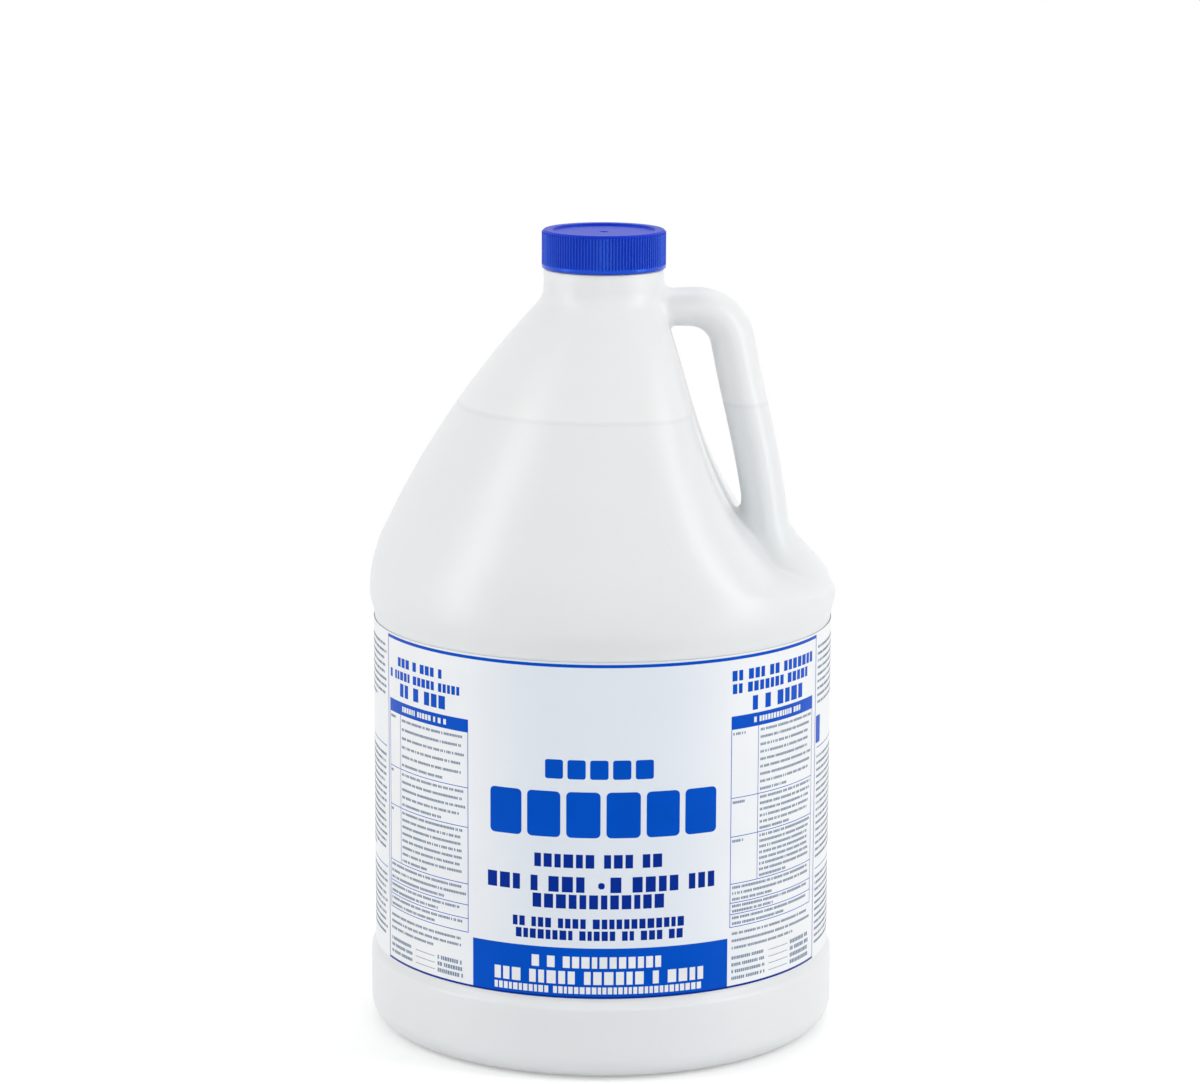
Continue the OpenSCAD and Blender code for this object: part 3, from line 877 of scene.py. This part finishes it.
def finish_material(name, colour, roughness, grain, wave, share, bump, shade=0.03, **sockets):
    """A plastic, foam, film or ink: a base colour that drifts by a little, roughness that
    drifts with it, and the moulded surface's height as bump. Returns the material, its
    tree and shader, the Object coordinates, the colour and the bumped normal."""
    material = bpy.data.materials.new(name)
    material.use_nodes = True
    tree = material.node_tree
    shader = tree.nodes["Principled BSDF"]
    place = add_node(tree, "ShaderNodeTexCoord").outputs["Object"]
    surface = add_node(tree, "ShaderNodeGroup", node_tree=MOULDED)
    tree.links.new(place, surface.inputs[0])
    for i, value in enumerate((grain, wave, share), 1):
        surface.inputs[i].default_value = value
    tone = surface.outputs["Tone"]
    drift = ramp(tree, tone, TONE_LOW, TONE_HIGH)
    darker = tuple(c * (1 - shade) for c in colour)
    tint = blend_colour(tree, drift, darker, colour)
    tree.links.new(tint, shader.inputs["Base Color"])
    low, high = roughness * (1 - ROUGH_DRIFT), roughness * (1 + ROUGH_DRIFT)
    tree.links.new(ramp(tree, tone, TONE_LOW, TONE_HIGH, low, high), shader.inputs["Roughness"])
    feeds = {"Height": surface.outputs["Height"], "Strength": 1.0, "Distance": bump}
    bumped = add_node(tree, "ShaderNodeBump", feeds).outputs[0]
    tree.links.new(bumped, shader.inputs["Normal"])
    for socket, value in sockets.items():
        shader.inputs[socket.replace("_", " ")].default_value = value
    return material, tree, shader, place, tint, bumped


BLUE_SHEEN = (0.12, 0.5, 1, 1)
CAP_SHEEN = (0.09, 0.36, 1, 1)
WHITE_SHEEN = (1, 1, 1, 1)
CAP_BLUE = (0.0005, 0.01, 0.50)
# Painted shade for the cap's grooves and a painted highlight for its rib crests, as base colours
CAP_PAINTED_GROOVE_SHADE = (0.0003, 0.004, 0.32)
CAP_PAINTED_CREST_HIGHLIGHT = (0.012, 0.06, 0.62)
CAP_SIDE_ROUGH, CAP_TOP_ROUGH = 0.2, 0.5
LEVEL_SOFT = 0.0006
LEVEL_LINE, LEVEL_LINE_EDGE, LEVEL_LINE_SHARE = 0.0002, 0.0011, 0.35
SEAM_W = 0.0004
ABOVE_TONE = (0.83, 0.84, 0.845)
BELOW_TONE = (0.80, 0.82, 0.83)
LEVEL_TONE = (0.70, 0.72, 0.73)
# Painted shade: a bluish grey laid over the middle of the label's front, and the span and share it
# takes
PAINTED_SHADE_GROUND = (0.72, 0.79, 0.88)
PAINTED_SHADE_FROM, PAINTED_SHADE_TO, PAINTED_SHADE_SHARE = 0.015, 0.062, 0.75
FOAM = (0.84, 0.84, 0.82)
INKS = {
    "blue": (0.0, 0.078, 0.56), "navy": (0.002, 0.022, 0.28),
    "fine": (0.20, 0.26, 0.37), "white": (0.86, 0.88, 0.90),
}


def jug_plastic():
    """Cloudy white plastic. The liquid behind it cools its tone up to the level, which shows
    as a thin line, and the mould's halves leave a fine ridge where y is 0."""
    material, tree, shader, place, _, bumped = finish_material(
        "jug_plastic", ABOVE_TONE, 0.32, 900.0, 22.0, 0.15, 0.0003,
        Subsurface_Weight=0.3, Subsurface_Radius=(1, 1, 1), Subsurface_Scale=0.0015)
    xyz = add_node(tree, "ShaderNodeSeparateXYZ", {0: place})
    height = math(tree, "SUBTRACT", xyz.outputs["Z"], LEVEL_Z * MM)
    above = ramp(tree, height, -LEVEL_SOFT, LEVEL_SOFT)
    filled = blend_colour(tree, above, BELOW_TONE, ABOVE_TONE)
    off_level = math(tree, "ABSOLUTE", height)
    line = ramp(tree, off_level, LEVEL_LINE, LEVEL_LINE_EDGE, LEVEL_LINE_SHARE, 0.0)
    toned = blend_colour(tree, line, filled, LEVEL_TONE)
    tree.links.new(toned, shader.inputs["Base Color"])
    ridge = ramp(tree, math(tree, "ABSOLUTE", xyz.outputs["Y"]), 0.0, SEAM_W, 1.0, 0.0)
    feeds = {"Height": ridge, "Strength": 0.6, "Distance": 0.00015, "Normal": bumped}
    tree.links.new(add_node(tree, "ShaderNodeBump", feeds).outputs[0], shader.inputs["Normal"])
    return material


def cap_material():
    """Blue plastic, glossy on the side and rougher on the top, with a painted highlight along the
    ribs' crests and painted shade between them."""
    material, tree, shader, place, tint, _ = finish_material(
        "cap_plastic", CAP_BLUE, CAP_SIDE_ROUGH, 1100.0, 60.0, 0.5, 0.00001, shade=0.08,
        Specular_IOR_Level=1.0, Specular_Tint=CAP_SHEEN)
    xyz = add_node(tree, "ShaderNodeSeparateXYZ", {0: place}).outputs
    across = math(tree, "MULTIPLY", xyz["X"], xyz["X"])
    radius = math(tree, "SQRT", math(tree, "MULTIPLY_ADD", xyz["Y"], xyz["Y"], across))
    crest_r, top_z = CAP_R * MM, CAP_TOP_Z * MM
    on_top = ramp(tree, xyz["Z"], top_z - 0.0012, top_z - 0.0009)
    rough = ramp(tree, on_top, 0.0, 1.0, CAP_SIDE_ROUGH, CAP_TOP_ROUGH)
    tree.links.new(rough, shader.inputs["Roughness"])
    # Painted shade: the grooves between the ribs take a darker blue
    clear_of_groove_shade = ramp(tree, radius, crest_r - 0.00026, crest_r - 0.00008)
    plain = math(tree, "MAXIMUM", clear_of_groove_shade, on_top)
    toned = blend_colour(tree, plain, CAP_PAINTED_GROOVE_SHADE, tint)
    # Painted highlight: a lighter blue along the ribs' crests
    crest_highlight_band = ramp(tree, radius, crest_r - 0.00007, crest_r - 0.00001)
    crest = math(tree, "SUBTRACT", crest_highlight_band, on_top)
    tree.links.new(blend_colour(tree, crest, toned, CAP_PAINTED_CREST_HIGHLIGHT), shader.inputs["Base Color"])
    return material


def label_film():
    """White film with painted bluish-grey shade towards the middle of the front, and faint grain.
    Its roughness stays above 0.3: drifting between 0.27 and 0.33 it left faint patches."""
    material, tree, shader, place, tint, _ = finish_material(
        "label_film", (0.885, 0.90, 0.915), 0.34, 1500.0, 35.0, 0.25, 0.0001)
    xyz = add_node(tree, "ShaderNodeSeparateXYZ", {0: place}).outputs
    off_middle = math(tree, "ABSOLUTE", xyz["X"])
    front = ramp(tree, xyz["Y"], -0.05, 0.0, 1.0, 0.0)
    # Painted shade: the middle of the front is darkened towards a bluish grey
    near_middle = ramp(tree, off_middle, PAINTED_SHADE_FROM, PAINTED_SHADE_TO, PAINTED_SHADE_SHARE, 0.0)
    centre_shade = math(tree, "MULTIPLY", near_middle, front)
    tree.links.new(blend_colour(tree, centre_shade, tint, PAINTED_SHADE_GROUND), shader.inputs["Base Color"])
    return material


def liquid_material():
    """A clear, faintly yellow liquid."""
    return finish_material(
        "bleach_liquid", (0.95, 0.97, 0.86), 0.04, 60.0, 20.0, 0.3, 0.0001, shade=0.01,
        Transmission_Weight=0.95, IOR=1.34)[0]


def ink_material(name):
    """A printed ink. The coloured ones reflect in blue."""
    sheen = WHITE_SHEEN if name == "white" else BLUE_SHEEN
    return finish_material(
        "ink_" + name, INKS[name], 0.35, 1500.0, 80.0, 0.4, 0.0001, shade=0.06,
        Specular_IOR_Level=0.2, Specular_Tint=sheen)[0]


def dress():
    """Makes every piece and gives the carried-over liquid its material."""
    plastic = jug_plastic()
    points, quads, tris, normals = jug_skin()
    piece = add_mesh("jug_skin", points, quads, tris, "bottle", plastic, "jug_body", normals)
    ridge = thread_ridge(0, THREAD_TURNS, THREAD_Z, NECK_R, THREAD_H, THREAD_ROOT_W, THREAD_CREST_W)
    add_mesh("neck_thread", *ridge, "bottle", plastic)

    cap_plastic = cap_material()
    piece = add_mesh("cap_shell", *cap_shell(), "cap", cap_plastic, "screw_cap")
    ridge = thread_ridge(
        CAP_RIDGE_START, 1, THREAD_Z + THREAD_PITCH / 2, CAP_HOLLOW_R, -CAP_THREAD_H,
        CAP_RIDGE_ROOT_W, CAP_RIDGE_CREST_W)
    add_mesh("cap_thread", *ridge, "cap", cap_plastic)

    foam = finish_material("liner_foam", FOAM, 0.75, 2600.0, 300.0, 0.8, 0.0004)[0]
    add_mesh("liner_disc", *liner_disc(), "liner", foam, "cap_liner")

    points, quads, normals = label_sheet()
    film = label_film()
    piece = add_mesh("label_sheet", points, quads, [], "bottle", film, "wrap_label", normals)
    for name, patches in label_print().items():
        points, quads, normals = ink_slabs(patches, TOP_INK_R if name == "white" else INK_R)
        ink = ink_material(name)
        piece = add_mesh("print_" + name, points, quads, [], "bottle", ink, None, normals)

    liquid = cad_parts["bleach_fill"].data.materials
    liquid.clear()
    liquid.append(liquid_material())


def shown_white(tree):
    """One on the rays that show the background: straight, mirrored or through glass."""
    rays = add_node(tree, "ShaderNodeLightPath").outputs
    seen = math(tree, "MAXIMUM", rays["Is Camera Ray"], rays["Is Glossy Ray"])
    return math(tree, "MAXIMUM", seen, rays["Is Transmission Ray"])


FLOOR_R = 14
FLOOR_DROP = 0.0003
FLOOR_LIFT = 0.3
FLOOR_CORNERS = 64
FLOOR_LIT_R, FLOOR_WHITE_R = 0.12, 0.5
WORLD_LIGHT = 1.12
SIDE_DIM = 0.88
UP_DIM = 0.42


def set_floor():
    """A white disc. Near the jug it shows its light and shadow, lifted a little, and further
    out it turns plain white."""
    turns = np.linspace(0, 2 * np.pi, FLOOR_CORNERS + 1)[:-1]
    across = FLOOR_R * np.stack([np.cos(turns), np.sin(turns)], 1)
    points = np.pad(across, ((0, 0), (0, 1)), constant_values=-FLOOR_DROP)
    mesh = bpy.data.meshes.new("floor")
    mesh.from_pydata(points.tolist(), [], [list(range(FLOOR_CORNERS))])
    material = bpy.data.materials.new("floor")
    material.use_nodes = True
    tree = material.node_tree
    shader = tree.nodes["Principled BSDF"]
    shader.inputs["Base Color"].default_value = (0.8, 0.8, 0.8, 1)
    shader.inputs["Roughness"].default_value = 0.9
    shown = shown_white(tree)
    place = add_node(tree, "ShaderNodeTexCoord").outputs["Object"]
    away = add_node(tree, "ShaderNodeVectorMath", {0: place}, operation="LENGTH")
    lifted = math(tree, "MULTIPLY", shown, FLOOR_LIFT)
    lift = add_node(tree, "ShaderNodeEmission", {"Strength": lifted})
    lit = add_node(tree, "ShaderNodeAddShader", {0: shader.outputs[0], 1: lift.outputs[0]})
    white = add_node(tree, "ShaderNodeEmission", {"Strength": 1.0})
    beyond = ramp(tree, away.outputs["Value"], FLOOR_LIT_R, FLOOR_WHITE_R)
    far = math(tree, "MULTIPLY", shown, beyond)
    both = add_node(tree, "ShaderNodeMixShader", {0: far, 1: lit.outputs[0], 2: white.outputs[0]})
    tree.links.new(both.outputs[0], tree.nodes["Material Output"].inputs["Surface"])
    mesh.materials.append(material)
    floor = bpy.data.objects.new("floor", mesh)
    bpy.context.scene.collection.objects.link(floor)


def set_world():
    """White all round: plain white where it is seen. As a light it is WORLD_LIGHT times one
    less SIDE_DIM of the square of the direction's x and less UP_DIM of the square of its z."""
    world = bpy.data.worlds.new("studio")
    bpy.context.scene.world = world
    world.use_nodes = True
    tree = world.node_tree
    way = add_node(tree, "ShaderNodeTexCoord").outputs["Generated"]
    xyz = add_node(tree, "ShaderNodeSeparateXYZ", {0: way}).outputs
    left = WORLD_LIGHT
    for axis, share in (("X", SIDE_DIM), ("Z", UP_DIM)):
        square = math(tree, "MULTIPLY", xyz[axis], xyz[axis])
        left = math(tree, "MULTIPLY_ADD", square, -share * WORLD_LIGHT, left)
    strength = math(tree, "MAXIMUM", shown_white(tree), left)
    tree.links.new(strength, tree.nodes["Background"].inputs["Strength"])
    tree.nodes["Background"].inputs["Color"].default_value = (1, 1, 1, 1)


JUG_MIDDLE = (0, 0, 0.14)
# Each lamp's place, its width and height, and its level
SOFTBOXES = {
    "right_box": ((1.42, -0.42, 0.75), (0.5, 2.0), 0.4),
    "right_strip": ((1.38, -0.6, 0.6), (0.12, 1.5), 0.08),
    "left_box": ((-1.42, -0.42, 0.75), (0.5, 2.0), 0.4),
    "back_box": ((0.2, 1.0, 1.5), (1.2, 0.9), 0.12),
}


def add_softbox(name, place, size, level):
    """A rectangular lamp that faces the middle of the jug. level is the radiance that it
    alone would give a white face turned to it there."""
    middle = Vector(JUG_MIDDLE)
    lamp = bpy.data.lights.new(name, "AREA")
    lamp.shape = "RECTANGLE"
    lamp.size, lamp.size_y = size
    lamp.energy = level * np.pi**2 * (Vector(place) - middle).length ** 2
    box = bpy.data.objects.new(name, lamp)
    box.location = place
    box.rotation_euler = (middle - box.location).to_track_quat("-Z", "Y").to_euler()
    bpy.context.scene.collection.objects.link(box)


CAMERA_PLACE = (-0.00095, -1.3916, 0.4439)
CAMERA_PITCH = np.radians(11.12)
CAMERA_ROLL = 0.004
CAMERA_LENS = 121.52
CAMERA_FILM_W = 36


def set_camera():
    """The camera that the photo's outline was fitted with."""
    lens = bpy.data.cameras.new("camera")
    lens.lens, lens.sensor_width = CAMERA_LENS, CAMERA_FILM_W
    lens.clip_end = 100
    camera = bpy.data.objects.new("camera", lens)
    camera.location = CAMERA_PLACE
    turn = Matrix.Rotation(np.pi / 2 - CAMERA_PITCH, 3, "X") @ Matrix.Rotation(CAMERA_ROLL, 3, "Z")
    camera.rotation_euler = turn.to_euler()
    bpy.context.scene.collection.objects.link(camera)
    bpy.context.scene.camera = camera


dress()
set_floor()
set_world()
for lamp_name, settings in SOFTBOXES.items():
    add_softbox(lamp_name, *settings)
set_camera()
bpy.context.scene.view_settings.view_transform = "Standard"
